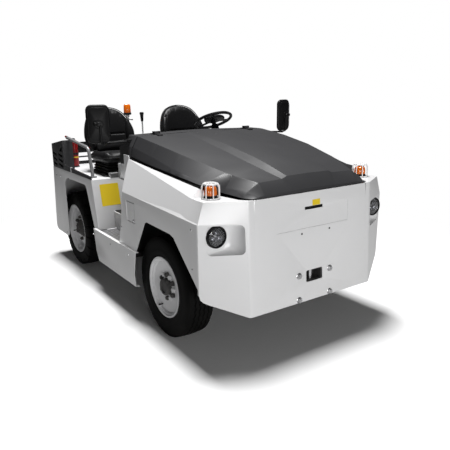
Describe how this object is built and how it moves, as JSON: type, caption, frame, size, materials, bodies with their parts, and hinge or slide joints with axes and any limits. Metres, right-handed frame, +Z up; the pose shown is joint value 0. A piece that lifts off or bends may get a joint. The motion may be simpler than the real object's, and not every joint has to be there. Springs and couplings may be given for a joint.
{
  "type": "baggage tow tractor",
  "caption": "Low electric airport tow tractor with two seats, a lifting bonnet, steered front wheels and a pin coupling at each end.",
  "frame": {"origin": "on the ground under the middle of the whole vehicle's box", "axes": "+X forwards, +Y to the vehicle's left, +Z up"},
  "size_m": [3.135, 1.8998, 1.558],
  "materials": {
    "white_paint": "satin powder coat, light grey-white",
    "dark_paint": "satin dark grey",
    "black_paint": "satin black chassis paint",
    "rim_paint": "satin white wheel paint",
    "rubber_black": "matt moulded rubber",
    "tyre_black": "matt solid tyre rubber",
    "plastic_black": "fine grained black plastic",
    "tread_plate": "tread plate",
    "seat_cover": "black vinyl",
    "amber_lens": "amber lens",
    "red_lens": "red lens",
    "lamp_glass": "clear",
    "mirror_glass": "mirror",
    "pin_steel": "bright steel",
    "cast_black": "painted casting",
    "red_paint": "gloss red"
  },
  "bodies": {
    "tug": {"chassis_frame": "black_paint", "battery_block": "plastic_black", "front_panel": "white_paint", "headlamp_bowls": "white_paint", "headlamps": "lamp_glass", "lamp_guards": "white_paint", "turn_lamps": "amber_lens", "side_panel_left": "white_paint", "side_panel_right": "white_paint", "bonnet_seal": "rubber_black", "bonnet_hinges": "black_paint", "cowl": "dark_paint", "dash_fascia": "plastic_black", "dash_support": "white_paint", "cab_floor": "white_paint", "floor_mat": "rubber_black", "step_plates": "tread_plate", "side_skirts": "white_paint", "rear_body": "white_paint", "tail_boxes": "dark_paint", "grab_rails": "dark_paint", "rear_guard": "black_paint", "beacon_lens": "amber_lens", "seat_bases": "plastic_black", "seats": "seat_cover", "hitch_lever": "pin_steel", "steering_column": "plastic_black", "mirrors": "plastic_black", "mirror_glasses": "mirror_glass", "front_coupling": "cast_black", "rear_coupling": "cast_black", "coupling_pin": "pin_steel", "tail_lamps": "red_lens", "front_axle": "cast_black", "rear_axle": "cast_black", "extinguisher": "red_paint"},
    "bonnet": {"bonnet": "dark_paint"},
    "charging_flap": {"charging_flap": "white_paint"},
    "steering_wheel": {"steering_wheel": "plastic_black"},
    "knuckle_left": {"steering_knuckle_left": "cast_black"},
    "knuckle_right": {"steering_knuckle_right": "cast_black"},
    "wheel_front_left": {"rim_front_left": "rim_paint", "tyre_front_left": "tyre_black"},
    "wheel_front_right": {"rim_front_right": "rim_paint", "tyre_front_right": "tyre_black"},
    "wheel_rear_left": {"rim_rear_left": "rim_paint", "tyre_rear_left": "tyre_black"},
    "wheel_rear_right": {"rim_rear_right": "rim_paint", "tyre_rear_right": "tyre_black"}
  },
  "joints": [
    {"name": "bonnet_open", "type": "hinge", "parent": "tug", "child": "bonnet", "pos_m": [0.26051, 0, 1.331], "axis": [0, -1, 0], "range_deg": [0, 60]},
    {"name": "charging_flap_open", "type": "hinge", "parent": "tug", "child": "charging_flap", "pos_m": [0.42951, -0.771, 0.807], "axis": [0, 0, -1], "range_deg": [0, 100]},
    {"name": "steer_left", "type": "hinge", "parent": "tug", "child": "knuckle_left", "pos_m": [0.87251, 0.52, 0.35], "axis": [0, 0, 1], "range_deg": [-30, 30]},
    {"name": "steer_right", "type": "hinge", "parent": "tug", "child": "knuckle_right", "pos_m": [0.87251, -0.52, 0.35], "axis": [0, 0, 1], "range_deg": [-30, 30]},
    {"name": "steering_wheel_turn", "type": "hinge", "parent": "tug", "child": "steering_wheel", "pos_m": [-0.17749, 0.373, 1.37], "axis": [-0.4384, 0, 0.8988], "range_deg": [-540, 540]},
    {"name": "spin_front_left", "type": "hinge", "parent": "knuckle_left", "child": "wheel_front_left", "pos_m": [0.87251, 0.636, 0.35], "axis": [0, 1, 0], "continuous": true},
    {"name": "spin_front_right", "type": "hinge", "parent": "knuckle_right", "child": "wheel_front_right", "pos_m": [0.87251, -0.636, 0.35], "axis": [0, 1, 0], "continuous": true},
    {"name": "spin_rear_left", "type": "hinge", "parent": "tug", "child": "wheel_rear_left", "pos_m": [-0.99149, 0.606, 0.355], "axis": [0, 1, 0], "continuous": true},
    {"name": "spin_rear_right", "type": "hinge", "parent": "tug", "child": "wheel_rear_right", "pos_m": [-0.99149, -0.606, 0.355], "axis": [0, 1, 0], "continuous": true}
  ],
  "couplings": [
    {"joint": "steer_right", "follows": "steer_left", "ratio": 1},
    {"joint": "steering_wheel_turn", "follows": "steer_left", "ratio": 18}
  ]
}
